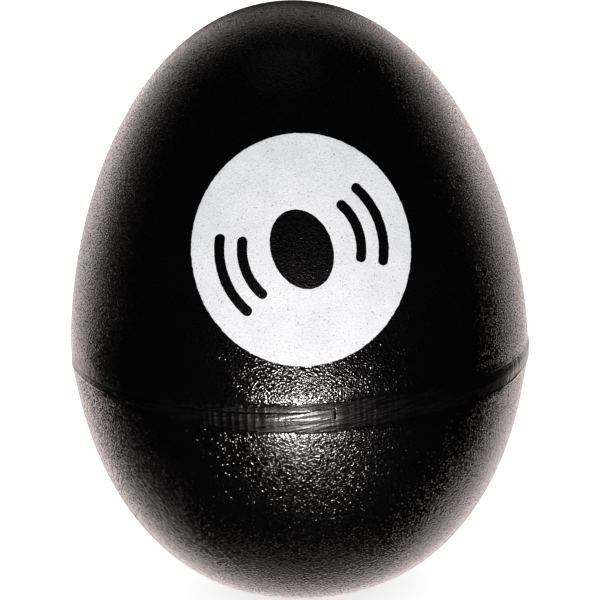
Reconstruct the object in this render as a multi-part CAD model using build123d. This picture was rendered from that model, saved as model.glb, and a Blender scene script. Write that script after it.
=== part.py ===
from build123d import *
import math
import os

# An egg shaker: two moulded half shells welded together at the waist, a white printed roundel
# on the front of the pointed half, and a loose charge of steel pellets sealed inside.
# Millimetres. +Z runs up the egg's axis to its pointed end, the origin is the middle of the
# small flat under the blunt end, and the roundel faces -Y.

# Driving dimensions
egg_height = 60.0
egg_diameter = 45.5
seam_height = 25.1
rest_flat_diameter = 7.0
chamber_diameter = 40.4
nose_wall = 2.2

# The belt round the seam where the squeezed-out weld was scraped flush
belt_above_seam = 0.9
belt_below_seam = 2.5
belt_foot_diameter = 44.9

# Fullness of the two outlines: how far each end keeps its direction before it turns
shoulder_rise = 11.6
nose_reach = 16.0
hip_drop = 16.3
hip_lean = 8.2
sole_reach = 10.4
dome_rise = 11.8
dome_reach = 14.0

# The weld joint: a tongue on the upper shell inside a rebate in the lower one
tongue_length = 2.0
tongue_thickness = 1.1
tongue_lead_in = 0.25
weld_gap = 0.15
foot_gap = 0.4
butt_gap = 0.1
groove_depth = 0.15
bead_bulge = 0.25

# The printed roundel
ink_thickness = 0.08
roundel_width = 21.4
roundel_height = 22.7
print_tilt = 18.4
print_axis_height = 34.2
mark_line = 1.0
mark_egg_width = 6.0
mark_egg_height = 8.0
mark_egg_lean = 18.0
mark_arc_radii = (5.8, 8.0)
mark_arc_sweep = 56.0

# The steel charge
pellet_diameter = 4.5
pellet_play = 0.15
column_pitch = 4.7
fill_level = 12.0
tiers = ("lower", "upper")

egg_radius = egg_diameter / 2
chamber_radius = chamber_diameter / 2
belt_foot = (belt_foot_diameter / 2, seam_height - belt_below_seam)
bowl_centre = chamber_radius + nose_wall
seam_top = seam_height + butt_gap / 2
seam_bottom = seam_height - butt_gap / 2
tongue_radius = chamber_radius + tongue_thickness
rebate_radius = tongue_radius + weld_gap
tongue_foot = seam_height - tongue_length
rebate_floor = tongue_foot - foot_gap
pellet_reach = pellet_diameter / 2 + pellet_play


def turned(*lines):
    """The solid of a closed outline of (radius, height) lines turned about the egg's axis."""
    return revolve(Plane.XZ * make_face(Curve() + list(lines)), Axis.Z)


def nose_outline(proud=0.0):
    """The outside of the pointed half from the top of the belt to the tip, moved out by proud."""
    base = seam_top + belt_above_seam
    radius = egg_radius + proud
    top = egg_height + proud
    return Bezier((radius, base), (radius, base + shoulder_rise), (nose_reach, top), (0, top))


def sole_outline():
    """The outside of the blunt half from the foot of the belt to the edge of the rest flat."""
    lean = math.radians(hip_lean)
    hip = (belt_foot[0] - hip_drop * math.sin(lean), belt_foot[1] - hip_drop * math.cos(lean))
    return Bezier(belt_foot, hip, (sole_reach, 0), (rest_flat_diameter / 2, 0))


def dome_outline():
    """The chamber's roof from the seam to the axis."""
    roof = egg_height - nose_wall
    shoulder = (chamber_radius, seam_top + dome_rise)
    return Bezier((chamber_radius, seam_top), shoulder, (dome_reach, roof), (0, roof))


def upper_shell():
    """The pointed half, with the tongue that reaches down inside the lower half."""
    nose = nose_outline()
    dome = dome_outline()
    walls = Polyline((0, egg_height), (0, egg_height - nose_wall))
    rim = Polyline(
        (chamber_radius, seam_top),
        (chamber_radius, tongue_foot),
        (tongue_radius - tongue_lead_in, tongue_foot),
        (tongue_radius, tongue_foot + tongue_lead_in),
        (tongue_radius, seam_top),
        (egg_radius, seam_top),
        (egg_radius, seam_top + belt_above_seam),
    )
    return turned(nose, walls, dome, rim)


def lower_shell():
    """The blunt half: a round bowl inside, a flat to rest on outside, and the rebate at its rim."""
    bowl = CenterArc((0, bowl_centre), chamber_radius, -90, 90)
    rim = Polyline(
        (chamber_radius, bowl_centre),
        (chamber_radius, rebate_floor),
        (rebate_radius, rebate_floor),
        (rebate_radius, seam_bottom),
        (egg_radius, seam_bottom),
        belt_foot,
    )
    floor = Polyline((rest_flat_diameter / 2, 0), (0, 0), (0, nose_wall))
    return turned(bowl, rim, sole_outline(), floor)


def weld_bead():
    """The plastic fused between the rims: a sleeve round the tongue, a flange between the butting
    faces that stops short of the outside, and a soft roll squeezed out into the chamber."""
    body = Polyline(
        (chamber_radius, rebate_floor),
        (rebate_radius, rebate_floor),
        (rebate_radius, seam_bottom),
        (egg_radius - groove_depth, seam_bottom),
        (egg_radius - groove_depth, seam_top),
        (tongue_radius, seam_top),
        (tongue_radius, tongue_foot + tongue_lead_in),
        (tongue_radius - tongue_lead_in, tongue_foot),
        (chamber_radius, tongue_foot),
    )
    roll = ThreePointArc(
        (chamber_radius, tongue_foot),
        (chamber_radius - bead_bulge, tongue_foot - foot_gap / 2),
        (chamber_radius, rebate_floor),
    )
    return turned(body, roll)


def mark():
    """The unprinted figure in the roundel: a leaning egg between two pairs of motion arcs."""
    egg = Rot(0, 0, mark_egg_lean) * Ellipse(mark_egg_width / 2, mark_egg_height / 2)
    figure = Sketch() + egg
    for radius in mark_arc_radii:
        for facing in (0, 180):
            start = facing + mark_egg_lean - mark_arc_sweep / 2
            figure += SlotArc(CenterArc((0, 0), radius, start, mark_arc_sweep), mark_line)
    return figure


def roundel():
    """The film of white ink on the front of the upper shell, pressed on square to the surface."""
    foot = seam_top + belt_above_seam
    film = turned(
        nose_outline(),
        Line((0, egg_height), (0, egg_height + ink_thickness)),
        nose_outline(ink_thickness),
        Line((egg_radius + ink_thickness, foot), (egg_radius, foot)),
    )
    tilt = math.radians(print_tilt)
    facing = (0, -math.cos(tilt), math.sin(tilt))
    pad = Plane(origin=(0, 0, print_axis_height), x_dir=(1, 0, 0), z_dir=facing)
    printed = pad * (Ellipse(roundel_width / 2, roundel_height / 2) - mark())
    return film & extrude(printed, egg_diameter)


def pellet_columns():
    """Where the settled pellets stand: one hexagonal column after another from the axis out,
    each a list of pellet centres from the bowl upwards, none higher than the fill level."""
    reach = math.ceil(chamber_radius / column_pitch) + 1
    grid = []
    for across in range(-reach, reach + 1):
        for along in range(-reach, reach + 1):
            x = column_pitch * (across + along / 2)
            y = column_pitch * along * math.sqrt(3) / 2
            grid.append((round(math.hypot(x, y), 3), round(math.atan2(y, x), 3), x, y))
    columns = []
    for distance, bearing, x, y in sorted(grid):
        if distance > chamber_radius - pellet_reach:
            continue
        height = bowl_centre - math.sqrt((chamber_radius - pellet_reach) ** 2 - distance**2)
        column = []
        while height <= fill_level:
            column.append((x, y, height))
            height += pellet_diameter + pellet_play
        if column:
            columns.append(column)
    return columns


def save(name, shape):
    shape.label = name
    export_step(shape, f"parts/{name}.step")


os.makedirs("parts", exist_ok=True)
save("upper_shell", upper_shell())
save("lower_shell", lower_shell())
save("weld_bead", weld_bead())
save("roundel", roundel())
for number, column in enumerate(pellet_columns(), start=1):
    for tier, centre in zip(tiers, column):
        save(f"pellet_{number:02d}_{tier}", Pos(*centre) * Sphere(pellet_diameter / 2))
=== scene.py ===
import math

import bpy
import numpy as np
from mathutils import Matrix, Vector
from mathutils.geometry import delaunay_2d_cdt


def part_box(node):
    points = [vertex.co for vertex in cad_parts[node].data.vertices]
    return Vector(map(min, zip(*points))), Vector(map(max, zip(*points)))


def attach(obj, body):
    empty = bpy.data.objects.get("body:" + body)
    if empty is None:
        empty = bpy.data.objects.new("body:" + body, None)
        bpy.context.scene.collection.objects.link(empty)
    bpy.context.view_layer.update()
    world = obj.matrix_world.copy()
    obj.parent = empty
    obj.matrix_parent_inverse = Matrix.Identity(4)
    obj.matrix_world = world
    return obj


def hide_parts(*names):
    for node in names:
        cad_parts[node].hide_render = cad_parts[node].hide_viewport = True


# The looks of a black plastic egg shaker: two grained half shells with a scraped belt round
# their weld, a white printed roundel, and the steel charge sealed inside.
# Metres. +Z runs up the egg's axis, the roundel faces -Y, and bearings are in degrees round the
# axis from the front, growing towards +X.

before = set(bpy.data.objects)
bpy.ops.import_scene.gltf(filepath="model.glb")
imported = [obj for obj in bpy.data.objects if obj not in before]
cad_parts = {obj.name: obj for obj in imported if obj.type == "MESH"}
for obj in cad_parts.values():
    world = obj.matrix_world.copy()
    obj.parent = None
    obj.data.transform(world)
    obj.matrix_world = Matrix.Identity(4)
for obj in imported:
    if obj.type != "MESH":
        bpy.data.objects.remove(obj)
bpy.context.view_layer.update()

MM = 0.001
BODY = "shell"

# The egg's outline, as the CAD parts have it
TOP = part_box("upper_shell")[1].z
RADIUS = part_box("upper_shell")[1].x
SEAM_TOP = 25.15 * MM
SEAM_BOTTOM = 25.05 * MM
SEAM = (SEAM_TOP + SEAM_BOTTOM) / 2
BELT_TOP = SEAM_TOP + 0.9 * MM
BELT_FOOT = (22.45 * MM, 22.6 * MM)
SHOULDER_RISE = 11.6 * MM
NOSE_REACH = 16.0 * MM
HIP_DROP = 16.3 * MM
HIP_LEAN = math.radians(8.2)
SOLE_REACH = 10.4 * MM
FLAT_RADIUS = 3.5 * MM

# The inside of the shells
CHAMBER_RADIUS = 20.2 * MM
WALL = 2.2 * MM
DOME_RISE = 11.8 * MM
DOME_REACH = 14.0 * MM
TONGUE_RADIUS = 21.3 * MM
TONGUE_FOOT = 23.1 * MM
TONGUE_LEAD_IN = 0.25 * MM
REBATE_RADIUS = 21.45 * MM
REBATE_FLOOR = 22.7 * MM

# The printed roundel
PRINT_TILT = math.radians(18.4)
PRINT_HEIGHT = 34.2 * MM
ROUNDEL_HALF = (10.7 * MM, 11.35 * MM)
MARK_HALF = (3.0 * MM, 4.0 * MM)
MARK_LEAN = math.radians(18.0)
MARK_ARC_RADII = (5.8 * MM, 8.0 * MM)
MARK_ARC_SWEEP = math.radians(56.0)
MARK_LINE = 1.0 * MM
INK = 0.06 * MM
INK_EDGE = 0.027 * MM
INK_ROOT = 0.03 * MM
EDGE_STEP = 0.17 * MM
FILL_STEP = 0.27 * MM
FILL_CLEARANCE = 0.14 * MM

RNG = np.random.default_rng(7)


def bezier(a, b, c, d, count):
    t = np.linspace(0, 1, count)[:, None]
    a, b, c, d = (np.array(p, float) for p in (a, b, c, d))
    return a * (1 - t) ** 3 + 3 * b * t * (1 - t) ** 2 + 3 * c * t**2 * (1 - t) + d * t**3


def outside_line():
    """The whole outline, unscraped, from the edge of the rest flat up to the tip."""
    hip = (
        BELT_FOOT[0] - HIP_DROP * math.sin(HIP_LEAN),
        BELT_FOOT[1] - HIP_DROP * math.cos(HIP_LEAN),
    )
    sole = bezier((FLAT_RADIUS, 0), (SOLE_REACH, 0), hip, BELT_FOOT, 900)
    third = (BELT_TOP - BELT_FOOT[1]) / 3
    lip = (BELT_FOOT[0] + third * math.tan(HIP_LEAN), BELT_FOOT[1] + third)
    waist = bezier(BELT_FOOT, lip, (RADIUS, BELT_TOP - third), (RADIUS, BELT_TOP), 120)
    shoulder = (RADIUS, BELT_TOP + SHOULDER_RISE)
    nose = bezier((RADIUS, BELT_TOP), shoulder, (NOSE_REACH, TOP), (0, TOP), 1200)
    return np.vstack([sole[:-1], waist[:-1], nose])


OUTSIDE = outside_line()
ALONG = np.concatenate([[0], np.cumsum(np.hypot(*np.diff(OUTSIDE, axis=0).T))])


def rows_between(low, high, fine_low, fine_high, fine, coarse, ease):
    """Points of the outline from height low to high, fine apart between the fine heights and
    easing out to coarse beyond them."""
    start, end = (np.interp(z, OUTSIDE[:, 1], ALONG) for z in (low, high))
    places = [start]
    while places[-1] < end:
        z = np.interp(places[-1], ALONG, OUTSIDE[:, 1])
        away = max(fine_low - z, z - fine_high, 0) / ease
        places.append(places[-1] + fine + (coarse - fine) * min(away, 1))
    places = np.array(places)
    places = start + (places - start) * (end - start) / (places[-1] - start)
    r = np.interp(places, ALONG, OUTSIDE[:, 0])
    z = np.interp(places, ALONG, OUTSIDE[:, 1])
    return np.column_stack([r, z])


NICK_BEARING = 6.6
NICK_COLUMNS = 12
COLUMNS = 708
CROWDING = 0.45


def mesh_bearings():
    """The bearings of the shells' columns of points: crowded towards the front, which the photo
    shows, with a close set of their own across the nick in the belt."""
    turn = np.linspace(-math.pi, math.pi, COLUMNS, endpoint=False)
    spread = turn - CROWDING * np.sin(turn)
    spread = spread[np.abs(np.degrees(spread) - NICK_BEARING) > 0.45]
    close = np.radians(NICK_BEARING + np.linspace(-0.42, 0.42, NICK_COLUMNS))
    return np.sort(np.concatenate([spread, close]))


BEARINGS = mesh_bearings()
SEGMENTS = len(BEARINGS)


def mesh_object(name, points, faces, materials, face_material=None):
    mesh = bpy.data.meshes.new(name)
    mesh.from_pydata(points.tolist(), [], faces)
    for material in materials:
        mesh.materials.append(material)
    if face_material is not None:
        mesh.polygons.foreach_set("material_index", np.array(face_material, np.int32))
    mesh.shade_smooth()
    mesh.set_sharp_from_angle(angle=math.radians(40))
    made = bpy.data.objects.new(name, mesh)
    bpy.context.scene.collection.objects.link(made)
    return made


# The scraped belt -------------------------------------------------------------------------

def around(bearing, places, values):
    """A value given at some bearings in degrees, eased between them all the way round."""
    places = np.array(places, float)
    values = np.array(values, float)
    places = np.concatenate([places[-1:] - 360, places, places[:1] + 360])
    values = np.concatenate([values[-1:], values, values[:1]])
    return np.interp(np.degrees(bearing), places, values)


def wander(bearing, sizes, seed):
    """A smooth random line round the egg, as a sum of waves of the given sizes."""
    draw = np.random.default_rng(seed)
    total = np.zeros_like(bearing)
    for waves, size in sizes:
        total += size * np.sin(waves * bearing + draw.uniform(0, 2 * math.pi))
    return total


def bell(place, centre, width):
    """1 at the centre, falling off smoothly over about width to each side."""
    return np.exp(-(((place - centre) / width) ** 2))


def belt_edges(bearing):
    """Heights of the belt's upper and lower edge at each bearing."""
    upper = around(
        bearing,
        (-150, -110, -70, -45, -30, -14, 0, 30, 55, 70, 110, 150),
        (0.7, 0.9, 1.0, 0.75, 0.6, 0.65, 0.85, 0.8, 0.35, 0.15, 0.4, 0.8),
    )
    lower = around(
        bearing,
        (-150, -110, -72, -57, -38, -21, 0, 8, 20, 45, 66, 100, 140),
        (1.6, 1.1, 0.55, 0.7, 1.5, 2.0, 2.55, 2.4, 2.1, 2.1, 1.85, 1.5, 1.9),
    )
    upper = upper + wander(bearing, ((23, 0.03), (61, 0.025), (140, 0.02)), 3)
    lower = lower + wander(bearing, ((19, 0.04), (47, 0.04), (118, 0.03)), 4)
    return SEAM + upper * MM, SEAM - lower * MM


def scallops(bearing):
    """Chatter of the scraper: one shallow hollow after another, with a ridge between each."""
    draw = np.random.default_rng(11)
    edges = [-math.pi]
    while edges[-1] < math.pi:
        edges.append(edges[-1] + draw.uniform(0.4, 1.05) * MM / RADIUS)
    edges = np.array(edges)
    depths = draw.uniform(0.2, 1.0, len(edges))
    cell = np.clip(np.searchsorted(edges, bearing, side="right") - 1, 0, len(edges) - 2)
    t = (bearing - edges[cell]) / (edges[cell + 1] - edges[cell])
    strength = around(
        bearing,
        (-160, -120, -80, -50, -28, -23, -13, -8, 5, 11, 22, 40, 75, 110, 150),
        (0.5, 0.9, 0.6, 0.5, 1.2, 2.4, 1.9, 0.3, 0.2, 0.9, 1.2, 0.6, 2.1, 0.4, 0.9),
    )
    return depths[cell] * strength * 4 * t * (1 - t)


def ridge(bearing, z, start, end, width):
    """1 along a straight smear between two (bearing, height above the seam) places, fading out."""
    t = (np.degrees(bearing) - start[0]) / (end[0] - start[0])
    line = SEAM + (start[1] + (end[1] - start[1]) * t) * MM
    fade = np.clip(np.minimum(t, 1 - t) * 5, 0, 1)
    return fade * bell(z, line, width * MM)


SMEARS = (
    # start, end, width and height, the last negative where the smear is a scratch
    ((-14.0, -0.75), (6.0, 0.15), 0.13, 0.022),
    ((-9.0, -0.95), (9.0, -0.35), 0.10, 0.018),
    ((-22.0, -0.30), (-2.0, 0.05), 0.09, 0.016),
    ((-4.0, -1.45), (13.0, -1.15), 0.12, -0.014),
    ((10.0, -0.25), (30.0, -0.55), 0.10, 0.014),
    ((-52.0, -0.35), (-28.0, -0.75), 0.10, 0.014),
    ((38.0, -0.9), (64.0, -0.35), 0.12, 0.018),
)

# Heights, widths and depths of the marks in and round the belt. The nick's width is in degrees;
# the flare and the flash have a height, a width and how far out they stand
EDGE_BLEND = 0.12 * MM
UNCUT_FADE = 9.0
ROLL_HEIGHT = 1.3 * MM
ROLL_DEPTH = 0.09 * MM
CREST = SEAM - 0.8 * MM
CREST_RISE = 0.1 * MM
CREST_FALL = 0.19 * MM
SCRAPE_DEPTH = 0.02 * MM
LEAN_DEPTH = 0.12 * MM
CHATTER_DEPTH = 0.026 * MM
PARED_DEPTH = 0.07 * MM
BURR_WIDTH = 0.1 * MM
BURR_RISE = 0.08 * MM
STEP_RISE = 0.02 * MM
STEP_WIDTH = 0.09 * MM
STEP_DEPTH = 0.04 * MM
GROOVE_WIDTH = 0.06 * MM
GROOVE_DEPTH_ABOVE = 0.06 * MM
GROOVE_DEPTH_BELOW = 0.13 * MM
NICK_WIDTH = 0.16
NICK_HEIGHT = 24.75 * MM
NICK_REACH = 0.55 * MM
NICK_FADE = 0.15 * MM
NICK_DEPTH = 0.15 * MM
FLARE = (25.6 * MM, 2.6 * MM, 0.08 * MM)
FLASH = (24.1 * MM, 1.35 * MM, 0.1 * MM)
LOWER_RIM = 25.6 * MM
LOWER_SWELL = 0.05 * MM
LOWER_SHIFT = 0.11 * MM
GRAIN_MARGIN = 0.25 * MM
SEAM_CLOSING = 0.48


def openness(bearing):
    """How far the seam is open: 1 where it shows as a groove, 0 where plastic smears it over."""
    return around(
        bearing,
        (-150, -100, -60, -20, -8, -1, 4, 30, 44, 70, 120),
        (0.8, 0.5, 1.0, 0.8, 0.5, 0.3, 0.0, 0.0, 0.5, 0.9, 0.4),
    )


def scraping(bearing, z, upper, lower, cut_above, held, front):
    """How far out the scraper's marks put the surface at each place. held is 1 in the belt,
    cut_above is 1 where the belt was also cut above the seam, and front is 1 at the front."""
    above = z > SEAM
    rolled = np.clip(1 - (z - upper) / ROLL_HEIGHT, 0, 1) * above
    out = -ROLL_DEPTH * rolled**1.2 * front * (1 - held)
    high = np.clip((z - CREST) / (upper - CREST), 0, 1)
    low = np.clip((z - lower) / (CREST - lower), 0, 1)
    out += (CREST_RISE * low - CREST_FALL * high) * front * held
    out -= SCRAPE_DEPTH * held
    leaned = around(bearing, (-180, -120, 38, 55, 72, 88, 150), (0.5, 0.0, 0.0, 0.8, 1.0, 0.2, 0.5))
    out -= LEAN_DEPTH * leaned * held * np.clip((z - lower) / (upper - lower), 0, 1)
    out -= CHATTER_DEPTH * scallops(bearing) * held
    pared = around(bearing, (-180, 8, 9, 14, 30, 60), (0, 0, 0.1, 1, 0.5, 0))
    out -= PARED_DEPTH * pared * held
    curled = around(
        bearing,
        (-150, -100, -80, -62, -50, -40, 45, 58, 80, 110, 140),
        (0.4, 0.9, 1.0, 0.7, 0.15, 0.0, 0.0, 0.4, 0.6, 0.5, 0.9),
    )
    out += BURR_RISE * bell(z, lower, BURR_WIDTH) * curled
    stepped = cut_above * around(bearing, (-13, -6, 6, 13), (1.0, 0.3, 0.3, 1.0))
    stepped *= 1 + wander(bearing, ((31, 0.35), (83, 0.3), (170, 0.3)), 9)
    out -= STEP_DEPTH * bell(z, upper + STEP_RISE, STEP_WIDTH) * stepped
    for start, end, width, height in SMEARS:
        out += height * MM * ridge(bearing, z, start, end, width) * held
    groove_depth = np.where(above, GROOVE_DEPTH_ABOVE, GROOVE_DEPTH_BELOW)
    out -= groove_depth * bell(z, SEAM, GROOVE_WIDTH) * openness(bearing)
    nick = bell(np.degrees(bearing), NICK_BEARING, NICK_WIDTH)
    out -= NICK_DEPTH * nick * np.clip((NICK_REACH - np.abs(z - NICK_HEIGHT)) / NICK_FADE, 0, 1)
    return out


def outline_faults(bearing, z):
    """How far out the moulding and the weld put the surface at each place: both rims flare at
    the sides, the lower half sits a little to the right, and weld was left standing there."""
    sides = np.sin(bearing) ** 2
    right = np.clip(np.sin(bearing), 0, 1) ** 2
    out = FLARE[2] * sides * bell(z, *FLARE[:2]) + FLASH[2] * right**3 * bell(z, *FLASH[:2])
    below = np.clip((LOWER_RIM - z) / MM, 0, 1) * np.clip(z / (2 * MM), 0, 1)
    return out + (LOWER_SWELL * sides + LOWER_SHIFT * right) * below


def relief(bearing, r, z):
    """The outline's radius at each place with the belt scraped into it, and how far inside the
    belt each place is, in millimetres."""
    upper, lower = belt_edges(bearing)
    cut_above = around(
        bearing,
        (-150, -120, -60, -28, -14, 30, 70, 95, 110, 150),
        (0.6, 0.3, 0.0, 0.0, 1.0, 1.0, 1.0, 0.6, 0.6, 0.9),
    )
    front = around(
        bearing,
        (-180, -95, -60, -32, -5, 30, 55, 80, 120),
        (0.4, 0.1, 0.3, 0.8, 1.0, 1.0, 0.6, 0.1, 0.4),
    )
    fade_above = UNCUT_FADE - (UNCUT_FADE - 1) * cut_above
    inside = np.minimum((upper - z) / fade_above, z - lower)
    held = np.clip(inside / EDGE_BLEND, 0, 1)
    held = held * held * (3 - 2 * held) * np.where(z > SEAM, cut_above, 1.0)
    out = r + scraping(bearing, z, upper, lower, cut_above, held, front)
    out += outline_faults(bearing, z)
    smooth = np.minimum(inside, z - lower - GRAIN_MARGIN * front)
    return out, smooth / MM


OUTSIDE_FACE, INSIDE_FACE = 0, 1


def shell(name, outer, inner, materials):
    """A closed half shell. outer runs from the rim to the pole outside, inner from the pole
    inside back to the rim, both as (radius, height) rows; the poles are on the axis. Its
    attribute "belt" tells the material how far inside the belt each point is."""
    rows = np.vstack([outer[:-1], inner[1:]])
    upwards = outer[-1][1] > outer[0][1]
    bearing, r = np.meshgrid(BEARINGS, rows[:, 0])
    z = np.repeat(rows[:, 1][:, None], SEGMENTS, axis=1)
    inside = np.full(r.shape, -1.0)
    skin = len(outer) - 1
    r[:skin], inside[:skin] = relief(bearing[:skin], r[:skin], z[:skin])
    closed = (1 - openness(BEARINGS)) * (SEAM_TOP - SEAM_BOTTOM) * SEAM_CLOSING
    z[0] += -closed if upwards else closed
    points = np.stack([r * np.sin(bearing), -r * np.cos(bearing), z], axis=-1).reshape(-1, 3)
    poles = np.array([[0, 0, outer[-1][1]], [0, 0, inner[0][1]]])
    outer_pole, inner_pole = len(points), len(points) + 1
    points = np.vstack([points, poles])
    faces = []
    kinds = []

    def ring(kind, corners):
        """One face for each column, from the indices of its corners on an upward-facing shell."""
        for j in range(SEGMENTS):
            face = corners(j, (j + 1) % SEGMENTS)
            faces.append(face if upwards else face[::-1])
            kinds.append(kind)

    for row in range(len(rows)):
        if row == skin - 1:
            continue
        base, ahead = row * SEGMENTS, (row + 1) % len(rows) * SEGMENTS
        kind = OUTSIDE_FACE if row < skin - 1 else INSIDE_FACE
        ring(kind, lambda j, k: (base + j, base + k, ahead + k, ahead + j))
    last, first = (skin - 1) * SEGMENTS, skin * SEGMENTS
    ring(OUTSIDE_FACE, lambda j, k: (last + j, last + k, outer_pole))
    ring(INSIDE_FACE, lambda j, k: (first + k, first + j, inner_pole))
    made = mesh_object(name, points, faces, materials, kinds)
    values = np.concatenate([inside.ravel(), [-1.0, -1.0]]).astype(np.float32)
    belt = made.data.attributes.new("belt", "FLOAT", "POINT")
    belt.data.foreach_set("value", values)
    return made


# Materials --------------------------------------------------------------------------------

def node(tree, kind, inputs=None, **settings):
    made = tree.nodes.new(kind)
    for key, value in settings.items():
        setattr(made, key, value)
    for key, value in (inputs or {}).items():
        socket = made.inputs[key]
        if isinstance(value, bpy.types.NodeSocket):
            tree.links.new(value, socket)
        else:
            socket.default_value = value
    return made


def new_material(name):
    made = bpy.data.materials.new(name)
    made.use_nodes = True
    tree = made.node_tree
    return made, tree, tree.nodes["Principled BSDF"]


def math_node(tree, operation, a, b=0.0, third=0.0):
    return node(tree, "ShaderNodeMath", {0: a, 1: b, 2: third}, operation=operation).outputs[0]


def noise(tree, where, scale, detail=2.0, roughness=0.5, distortion=0.0):
    inputs = {
        "Vector": where,
        "Scale": scale,
        "Detail": detail,
        "Roughness": roughness,
        "Distortion": distortion,
    }
    return node(tree, "ShaderNodeTexNoise", inputs).outputs["Fac"]


def stretched(tree, where, scale):
    return node(tree, "ShaderNodeMapping", {"Vector": where, "Scale": scale}).outputs["Vector"]


def ranged(tree, value, from_low, from_high, to_low, to_high):
    inputs = {0: value, 1: from_low, 2: from_high, 3: to_low, 4: to_high}
    return node(tree, "ShaderNodeMapRange", inputs).outputs[0]


def mixed_colour(tree, factor, low, high):
    made = node(tree, "ShaderNodeMix", data_type="RGBA")
    tree.links.new(factor, made.inputs["Factor"])
    made.inputs["A"].default_value = low
    made.inputs["B"].default_value = high
    return made.outputs["Result"]


def mixed_value(tree, factor, low, high):
    inputs = {"Factor": factor, "A": low, "B": high}
    return node(tree, "ShaderNodeMix", inputs, data_type="FLOAT").outputs["Result"]


GRAIN_SCALE = 6000.0
GRAIN_DEPTH = 0.07 * MM


def grain(tree, where):
    """The spark-eroded grain of the mould: even pebbles with a steeper one here and there."""
    pebbles = noise(tree, where, GRAIN_SCALE, 0.3, 0.5, 0.0)
    shifted = node(tree, "ShaderNodeMapping", {"Vector": where, "Location": (0.5, 0.2, 0.7)})
    steep = noise(tree, shifted.outputs["Vector"], GRAIN_SCALE * 0.8, 0.0, 0.5)
    steep = ranged(tree, steep, 0.6, 0.75, 0.0, 0.26)
    return math_node(tree, "ADD", pebbles, steep)


def black_plastic():
    """The outside of both shells: spark-eroded grain, softer on the pointed half, that gives way
    to rubbed streaks inside the belt."""
    material, tree, shader = new_material("moulded_black")
    where = node(tree, "ShaderNodeTexCoord").outputs["Object"]
    climb = node(tree, "ShaderNodeSeparateXYZ", {"Vector": where}).outputs["Z"]
    soft = ranged(tree, climb, 28 * MM, 38 * MM, 0.0, 1.0)
    belt = node(tree, "ShaderNodeAttribute", attribute_name="belt").outputs["Fac"]
    ragged = math_node(tree, "SUBTRACT", noise(tree, where, 1600.0, 3.0, 0.6), 0.5)
    ragged = math_node(tree, "MULTIPLY", ragged, 0.6)
    inside = math_node(tree, "ADD", belt, ragged)
    mask = ranged(tree, inside, -0.05, 0.08, 0.0, 1.0)
    pebbles = grain(tree, where)
    streak_lean = (0, math.radians(9), 0)
    lifted = node(tree, "ShaderNodeMapping", {"Vector": where, "Rotation": streak_lean})
    drawn = stretched(tree, lifted.outputs["Vector"], (420.0, 420.0, 4200.0))
    streaks = noise(tree, drawn, 1.0, 4.0, 0.65, 0.4)
    chatter = noise(tree, stretched(tree, where, (3400.0, 3400.0, 260.0)), 1.0, 3.0, 0.55)
    crumbs = noise(tree, where, 4200.0, 2.0, 0.55)
    rubbed = math_node(tree, "MULTIPLY", streaks, 0.42)
    rubbed = math_node(tree, "MULTIPLY_ADD", chatter, 0.24, third=rubbed)
    rubbed = math_node(tree, "MULTIPLY_ADD", crumbs, 0.2, third=rubbed)
    smooth = math_node(tree, "MULTIPLY", mask, rubbed)
    kept = ranged(tree, inside, -0.85, -0.05, 1.0, 0.32)
    kept = math_node(tree, "MULTIPLY", kept, math_node(tree, "SUBTRACT", 1.0, mask))
    rough = math_node(tree, "MULTIPLY", kept, pebbles)
    rough = math_node(tree, "MULTIPLY", rough, ranged(tree, soft, 0.0, 1.0, 1.0, 0.66))
    height = math_node(tree, "ADD", smooth, rough)
    bump = node(
        tree,
        "ShaderNodeBump",
        {"Strength": 1.0, "Distance": GRAIN_DEPTH, "Filter Width": 0.7, "Height": height},
    )
    blotches = noise(tree, where, 180.0, 3.0, 0.6)
    tree.links.new(
        mixed_colour(tree, blotches, (0.0004, 0.0004, 0.00045, 1), (0.0012, 0.0011, 0.0011, 1)),
        shader.inputs["Base Color"],
    )
    crests = ranged(tree, pebbles, 0.38, 0.61, 0.25, 0.11)
    rubs = ranged(tree, streaks, 0.42, 0.6, 0.33, 0.2)
    roughness = mixed_value(tree, mask, crests, rubs)
    roughness = math_node(tree, "MULTIPLY_ADD", soft, 0.1, third=roughness)
    tree.links.new(roughness, shader.inputs["Roughness"])
    tree.links.new(bump.outputs["Normal"], shader.inputs["Normal"])
    # Painted shade: the specular level drops to nothing in the grain's pits, standing in for their
    # own shadow. Inside the belt it is an even 0.38 for the duller scraped plastic.
    painted_pit_shade = ranged(tree, pebbles, 0.33, 0.42, 0.0, 0.5)
    painted_pit_shade_and_belt_level = mixed_value(tree, mask, painted_pit_shade, 0.38)
    tree.links.new(painted_pit_shade_and_belt_level, shader.inputs["Specular IOR Level"])
    shader.inputs["IOR"].default_value = 1.58
    return material


def black_inside():
    """The smoother moulded surface of the chamber and the weld's rims."""
    material, tree, shader = new_material("moulded_black_inside")
    where = node(tree, "ShaderNodeTexCoord").outputs["Object"]
    flow = noise(tree, stretched(tree, where, (400.0, 400.0, 120.0)), 1.0, 3.0, 0.6)
    tree.links.new(
        mixed_colour(tree, flow, (0.004, 0.004, 0.004, 1), (0.009, 0.009, 0.009, 1)),
        shader.inputs["Base Color"],
    )
    tree.links.new(ranged(tree, flow, 0.3, 0.7, 0.3, 0.45), shader.inputs["Roughness"])
    bump = node(tree, "ShaderNodeBump", {"Strength": 0.5, "Distance": 0.02 * MM, "Height": flow})
    tree.links.new(bump.outputs["Normal"], shader.inputs["Normal"])
    return material


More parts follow.
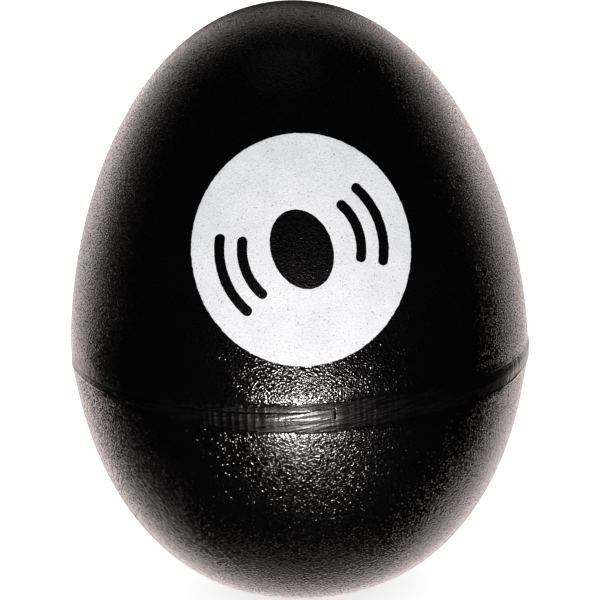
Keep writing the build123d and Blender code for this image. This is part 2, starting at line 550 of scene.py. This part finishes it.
def weld_plastic():
    """The plastic that melted and set again between the rims."""
    material, tree, shader = new_material("fused_bead")
    where = node(tree, "ShaderNodeTexCoord").outputs["Object"]
    lumps = noise(tree, where, 900.0, 3.0, 0.55)
    tree.links.new(
        mixed_colour(tree, lumps, (0.0015, 0.0015, 0.0015, 1), (0.004, 0.004, 0.004, 1)),
        shader.inputs["Base Color"],
    )
    tree.links.new(ranged(tree, lumps, 0.3, 0.7, 0.25, 0.5), shader.inputs["Roughness"])
    bump = node(tree, "ShaderNodeBump", {"Strength": 0.8, "Distance": 0.08 * MM, "Height": lumps})
    tree.links.new(bump.outputs["Normal"], shader.inputs["Normal"])
    return material


def white_ink():
    """The print: a thin film over the grain, with pinholes where it missed the pits."""
    material, tree, shader = new_material("pad_printed_white")
    where = node(tree, "ShaderNodeTexCoord").outputs["Object"]
    pebbles = grain(tree, where)
    fine = noise(tree, where, 7000.0, 2.0, 0.6)
    pits = ranged(tree, noise(tree, where, 5200.0, 1.0, 0.5), 0.26, 0.34, 0.0, 1.0)
    cloud = math_node(tree, "MULTIPLY", noise(tree, where, 260.0, 3.0, 0.6), 0.4)
    mottle = math_node(tree, "MULTIPLY_ADD", fine, 0.6, third=cloud)
    tone = ranged(tree, mottle, 0.3, 0.7, 0.0, 1.0)
    paint = mixed_colour(tree, tone, (0.60, 0.615, 0.635, 1), (0.83, 0.84, 0.85, 1))
    pitted = node(tree, "ShaderNodeMix", data_type="RGBA")
    tree.links.new(pits, pitted.inputs["Factor"])
    pitted.inputs["A"].default_value = (0.36, 0.37, 0.385, 1)
    tree.links.new(paint, pitted.inputs["B"])
    tree.links.new(pitted.outputs["Result"], shader.inputs["Base Color"])
    tree.links.new(ranged(tree, fine, 0.3, 0.7, 0.45, 0.6), shader.inputs["Roughness"])
    height = math_node(tree, "MULTIPLY_ADD", fine, 0.15, third=pebbles)
    inputs = {"Strength": 0.6, "Distance": GRAIN_DEPTH, "Height": height}
    bump = node(tree, "ShaderNodeBump", inputs)
    tree.links.new(bump.outputs["Normal"], shader.inputs["Normal"])
    return material


def steel():
    """Shot scuffed dull by its own tumbling."""
    material, tree, shader = new_material("tumbled_steel")
    where = node(tree, "ShaderNodeTexCoord").outputs["Object"]
    scuffs = noise(tree, where, 2600.0, 4.0, 0.6)
    tree.links.new(
        mixed_colour(tree, scuffs, (0.36, 0.35, 0.34, 1), (0.62, 0.61, 0.6, 1)),
        shader.inputs["Base Color"],
    )
    shader.inputs["Metallic"].default_value = 1.0
    tree.links.new(ranged(tree, scuffs, 0.3, 0.7, 0.18, 0.42), shader.inputs["Roughness"])
    bump = node(tree, "ShaderNodeBump", {"Strength": 0.3, "Distance": 0.02 * MM, "Height": scuffs})
    tree.links.new(bump.outputs["Normal"], shader.inputs["Normal"])
    return material


# The two shells ---------------------------------------------------------------------------

plastic = black_plastic()
inside_plastic = black_inside()

FINE_ROW, COARSE_ROW, EASE = 0.085 * MM, 0.62 * MM, 6 * MM
FINE_ROW_BELOW = 0.1 * MM

fine_top = SEAM_TOP + 1.3 * MM
nose_rows = rows_between(SEAM_TOP, TOP, SEAM_TOP, fine_top, FINE_ROW, COARSE_ROW, EASE)
nose_rows[-1] = (0, TOP)
dome = bezier(
    (0, TOP - WALL),
    (DOME_REACH, TOP - WALL),
    (CHAMBER_RADIUS, SEAM_TOP + DOME_RISE),
    (CHAMBER_RADIUS, SEAM_TOP),
    24,
)
tongue = np.array([
    (CHAMBER_RADIUS, TONGUE_FOOT),
    (TONGUE_RADIUS - TONGUE_LEAD_IN, TONGUE_FOOT),
    (TONGUE_RADIUS, TONGUE_FOOT + TONGUE_LEAD_IN),
    (TONGUE_RADIUS, SEAM_TOP),
])
upper = shell("upper_shell_skin", nose_rows, np.vstack([dome, tongue]), [plastic, inside_plastic])

fine_foot = 22.0 * MM
sole_rows = rows_between(0.0, SEAM_BOTTOM, fine_foot, SEAM_BOTTOM, FINE_ROW_BELOW, COARSE_ROW, EASE)
flat_rows = np.array([(FLAT_RADIUS * 0.97, 0), (FLAT_RADIUS * 0.5, 0), (0, 0)])
angles = np.linspace(-math.pi / 2, 0, 22)
bowl = np.column_stack([
    CHAMBER_RADIUS * np.cos(angles),
    CHAMBER_RADIUS + WALL + CHAMBER_RADIUS * np.sin(angles),
])
bowl[0, 0] = 0
rebate = np.array([
    (CHAMBER_RADIUS, REBATE_FLOOR),
    (REBATE_RADIUS, REBATE_FLOOR),
    (REBATE_RADIUS, SEAM_BOTTOM),
])
lower = shell(
    "lower_shell_skin",
    np.vstack([sole_rows[::-1], flat_rows]),
    np.vstack([bowl, rebate]),
    [plastic, inside_plastic],
)

for made, cad_node in ((upper, "upper_shell"), (lower, "lower_shell")):
    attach(made, BODY)
    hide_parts(cad_node)


# The roundel ------------------------------------------------------------------------------

def ellipse_loop(half, lean, count):
    t = np.linspace(0, 2 * math.pi, count, endpoint=False)
    x, y = half[0] * np.cos(t), half[1] * np.sin(t)
    c, s = math.cos(lean), math.sin(lean)
    return np.column_stack([c * x - s * y, s * x + c * y])


def arc_loop(radius, middle, sweep, line, step):
    """The outline of a round-ended arc of the given line width."""
    half = line / 2
    start, end = middle - sweep / 2, middle + sweep / 2
    along = max(int(radius * sweep / step), 8)
    cap = max(int(math.pi * half / step), 6)
    angles = np.linspace(start, end, along)

    def on_circle(centre, size, turned):
        return centre + size * np.column_stack([np.cos(turned), np.sin(turned)])

    def end_cap(at, first):
        centre = radius * np.array([math.cos(at), math.sin(at)])
        return on_circle(centre, half, np.linspace(first, first + math.pi, cap)[1:-1])

    return np.vstack([
        on_circle(0.0, radius + half, angles),
        end_cap(end, end),
        on_circle(0.0, radius - half, angles[::-1]),
        end_cap(start, start + math.pi),
    ])


def ragged_loop(loop, size):
    """A printed edge: the loop with each point pushed a little in or out."""
    ahead, behind = np.roll(loop, -1, axis=0), np.roll(loop, 1, axis=0)
    tangent = ahead - behind
    normal = np.column_stack([tangent[:, 1], -tangent[:, 0]])
    normal /= np.linalg.norm(normal, axis=1)[:, None]
    push = RNG.normal(0, 1, len(loop))
    push = (push + np.roll(push, 1)) / 2
    return loop + normal * push[:, None] * size


def within(points, loop):
    """Whether each point is inside the closed loop."""
    x, y = points[:, 0][:, None], points[:, 1][:, None]
    ax, ay = loop[:, 0][None], loop[:, 1][None]
    bx, by = np.roll(loop[:, 0], -1)[None], np.roll(loop[:, 1], -1)[None]
    spans = (ay > y) != (by > y)
    crossing = ax + (y - ay) * (bx - ax) / np.where(by == ay, 1, by - ay)
    return (np.sum(spans & (x < crossing), axis=1) % 2).astype(bool)


def on_surface(flat, proud):
    """Where places of the print plane land on the egg along the print's direction, moved out
    along the surface's normal by proud."""
    across = np.array([1, 0, 0])
    facing = np.array([0, -math.cos(PRINT_TILT), math.sin(PRINT_TILT)])
    up = np.array([0, math.sin(PRINT_TILT), math.cos(PRINT_TILT)])
    foot = np.array([0, 0, PRINT_HEIGHT]) + flat[:, :1] * across + flat[:, 1:] * up

    def outline_at(z):
        return np.interp(z, OUTSIDE[:, 1], OUTSIDE[:, 0])

    near, far = np.zeros(len(flat)), np.full(len(flat), 40 * MM)
    for _ in range(40):
        middle = (near + far) / 2
        place = foot + middle[:, None] * facing
        out = np.hypot(place[:, 0], place[:, 1]) > outline_at(place[:, 2])
        far = np.where(out, middle, far)
        near = np.where(out, near, middle)
    place = foot + near[:, None] * facing
    rise = 0.05 * MM
    slope = (outline_at(place[:, 2] + rise) - outline_at(place[:, 2] - rise)) / (2 * rise)
    level = place[:, :2] / np.hypot(place[:, 0], place[:, 1])[:, None]
    normal = np.column_stack([level, -slope])
    normal /= np.linalg.norm(normal, axis=1)[:, None]
    return place + normal * np.reshape(proud, (-1, 1))


def printed_area(points, loops):
    """Whether each point is inside the first loop and outside all the others."""
    inside = within(points, loops[0])
    for loop in loops[1:]:
        inside &= ~within(points, loop)
    return inside


def roundel_loops():
    """The ragged outlines of the print and of the figure left out of it."""
    loops = [ragged_loop(ellipse_loop(ROUNDEL_HALF, 0.0, 410), 0.022 * MM)]
    loops.append(ragged_loop(ellipse_loop(MARK_HALF, MARK_LEAN, 130), 0.018 * MM))
    for radius in MARK_ARC_RADII:
        for facing in (0.0, math.pi):
            loop = arc_loop(radius, facing + MARK_LEAN, MARK_ARC_SWEEP, MARK_LINE, EDGE_STEP)
            loops.append(ragged_loop(loop, 0.014 * MM))
    return loops


def roundel_triangles(loops):
    """The print as flat points and triangles over them, all facing the same way."""
    edge_points = np.vstack(loops)
    x = np.arange(-ROUNDEL_HALF[0], ROUNDEL_HALF[0], FILL_STEP)
    y = np.arange(-ROUNDEL_HALF[1], ROUNDEL_HALF[1], FILL_STEP * 0.866)
    gx, gy = np.meshgrid(x, y)
    gx = gx + FILL_STEP / 2 * (np.arange(len(y)) % 2)[:, None]
    fill = np.column_stack([gx.ravel(), gy.ravel()])
    fill = fill[printed_area(fill, loops)]
    gap = np.array([np.min(np.hypot(*(edge_points - p).T)) for p in fill])
    fill = fill[gap > FILL_CLEARANCE]
    flat = np.vstack([edge_points, fill])
    edges = []
    start = 0
    for loop in loops:
        count = len(loop)
        edges += [(start + i, start + (i + 1) % count) for i in range(count)]
        start += count
    coords = [Vector((p[0] / MM, p[1] / MM)) for p in flat]
    found = delaunay_2d_cdt(coords, edges, [], 0, 1e-7)
    flat = np.array([tuple(p) for p in found[0]]) * MM
    triangles = np.array(found[2])
    triangles = triangles[printed_area(flat[triangles].mean(axis=1), loops)]
    used = np.unique(triangles)
    renumber = np.full(len(flat), -1)
    renumber[used] = np.arange(len(used))
    flat, triangles = flat[used], renumber[triangles]
    a, b, c = (flat[triangles[:, i]] for i in range(3))
    ab, ac = b - a, c - a
    turned_over = ab[:, 0] * ac[:, 1] < ab[:, 1] * ac[:, 0]
    triangles[turned_over] = triangles[turned_over][:, ::-1]
    return flat, triangles.tolist()


def roundel(material):
    """The print as a closed film that follows the shell, with its root sunk into the plastic."""
    flat, triangles = roundel_triangles(roundel_loops())
    sides = {(t[i], t[(i + 1) % 3]): True for t in triangles for i in range(3)}
    rim = [(p, q) for p, q in sides if (q, p) not in sides]
    proud = np.full(len(flat), INK)
    proud[[p for p, _ in rim]] = INK_EDGE
    top = on_surface(flat, proud)
    under = on_surface(flat, np.full(len(flat), -INK_ROOT))
    count = len(flat)
    faces = [tuple(t) for t in triangles]
    faces += [(r + count, q + count, p + count) for p, q, r in triangles]
    faces += [(q, p, p + count, q + count) for p, q in rim]
    return mesh_object("roundel_print", np.vstack([top, under]), faces, [material])


printed = roundel(white_ink())
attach(printed, BODY)
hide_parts("roundel")


# The CAD parts that stay ------------------------------------------------------------------

def dress(cad_object, material):
    cad_object.data.materials.clear()
    cad_object.data.materials.append(material)


dress(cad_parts["weld_bead"], weld_plastic())
pellet_steel = steel()
for name, cad_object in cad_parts.items():
    if name.startswith("pellet_"):
        dress(cad_object, pellet_steel)


# Floor, light and camera ------------------------------------------------------------------

def floor():
    """A pale floor. It glows a little and takes no part in the reflections, so the egg stands on
    a plain ground with only a faint shadow, as in the photo."""
    bpy.ops.mesh.primitive_plane_add(size=12.0, location=(0, 0, 0))
    made = bpy.context.object
    made.name = "floor"
    material, tree, shader = new_material("pale_floor")
    shader.inputs["Base Color"].default_value = (0.82, 0.82, 0.82, 1)
    shader.inputs["Roughness"].default_value = 0.9
    shader.inputs["Emission Color"].default_value = (1, 1, 1, 1)
    shader.inputs["Emission Strength"].default_value = 0.75
    made.data.materials.append(material)
    made.visible_glossy = False
    made.visible_diffuse = False
    made.visible_shadow = False


CENTRE = Vector((0, 0, 30 * MM))
LIGHT_DISTANCE = 0.6


def direction(bearing, elevation):
    """Unit vector towards a bearing, 0 at the front and 90 at +X, and an elevation."""
    b, e = math.radians(bearing), math.radians(elevation)
    return Vector((math.sin(b) * math.cos(e), -math.cos(b) * math.cos(e), math.sin(e)))


def softbox(name, bearing, elevation, width, height, radiance, tint):
    """A rectangular light of the given radiance that faces the egg's middle."""
    data = bpy.data.lights.new(name, "AREA")
    data.shape = "RECTANGLE"
    data.size, data.size_y = width, height
    data.energy = 4 * radiance * width * height
    data.color = tint
    made = bpy.data.objects.new(name, data)
    bpy.context.scene.collection.objects.link(made)
    away = direction(bearing, elevation)
    made.location = CENTRE + away * LIGHT_DISTANCE
    made.rotation_euler = away.to_track_quat("Z", "Y").to_euler()
    return made


def only_on(lamp, *objects):
    """The lamp lights only these objects."""
    group = bpy.data.collections.new(lamp.name + "_receivers")
    for o in objects:
        group.objects.link(o)
    lamp.light_linking.receiver_collection = group


WARM = (1.0, 0.915, 0.89)
WARMER = (1.0, 0.862, 0.836)
RED = (1.0, 0.84, 0.77)

# The panels behind the egg light its rims; the dark line along the top of its outline is the
# reflection of the gap between the two middle ones
PANELS = (
    # name, bearing, elevation, width, height, radiance, tint
    ("back_mid_left", -152.4, -12, 0.423, 0.28, 1.2, WARMER),
    ("back_mid_right", 153.9, -12, 0.401, 0.28, 1.2, WARMER),
    ("back_low", 178.5, -41, 0.85, 0.33, 1.43, WARMER),
    ("back_left", -151.8, 8, 0.385, 0.28, 1.05, WARMER),
    ("back_right", 147.8, 7, 0.382, 0.27, 1.1, WARMER),
    ("low_back", 180, -70, 0.4, 0.20, 0.5, RED),
    ("back_top", 183, 31, 0.66, 0.27, 0.4, WARM),
    ("overhead", 180, 86, 0.3, 0.26, 0.09, WARM),
)
# The small, strong key low in front makes the glints round the belt; the ink gets a weaker one,
# since it would burn out in the plastic's
KEY_ELEVATION = -23.5
KEY_SIZE = (0.095, 0.11)
KEY_RADIANCE = 114.0
KEY_RADIANCE_ON_INK = 60.0
DAYLIGHT = 0.735

floor()
for panel in PANELS:
    softbox(*panel)
shell_key = softbox("low_key", -1.5, KEY_ELEVATION, *KEY_SIZE, KEY_RADIANCE, WARM)
only_on(shell_key, upper, lower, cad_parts["weld_bead"])
ink_key = softbox("low_key_ink", 0, KEY_ELEVATION, *KEY_SIZE, KEY_RADIANCE_ON_INK, WARM)
only_on(ink_key, printed)

world = bpy.data.worlds.new("studio")
bpy.context.scene.world = world
world.use_nodes = True
background = world.node_tree.nodes["Background"]
background.inputs["Color"].default_value = (0.95, 0.98, 1.0, 1)
background.inputs["Strength"].default_value = DAYLIGHT
world.cycles_visibility.glossy = False

bpy.context.scene.view_settings.view_transform = "Standard"

# The photo's view: a long lens from 17 degrees above, with the egg turned a little in the frame
CAMERA_BEARING = -1.6
CAMERA_ELEVATION = 17.03
CAMERA_DISTANCE = 0.837
CAMERA_ROLL = math.radians(2.02)
CAMERA_LENS = 503.2
CAMERA_RIGHT = 0.22 * MM
CAMERA_DOWN = 0.39 * MM

camera_data = bpy.data.cameras.new("camera")
camera_data.sensor_width = 36.0
camera_data.lens = CAMERA_LENS
camera_data.clip_start = 0.05
camera_data.clip_end = 30.0
camera = bpy.data.objects.new("camera", camera_data)
bpy.context.scene.collection.objects.link(camera)
back = direction(CAMERA_BEARING, CAMERA_ELEVATION)
level = direction(CAMERA_BEARING + 90, 0)
upright = back.cross(level)
right = level * math.cos(CAMERA_ROLL) - upright * math.sin(CAMERA_ROLL)
up = level * math.sin(CAMERA_ROLL) + upright * math.cos(CAMERA_ROLL)
eye = CENTRE + back * CAMERA_DISTANCE + right * CAMERA_RIGHT - up * CAMERA_DOWN
camera.matrix_world = Matrix.Translation(eye) @ Matrix((right, up, back)).transposed().to_4x4()
bpy.context.scene.camera = camera
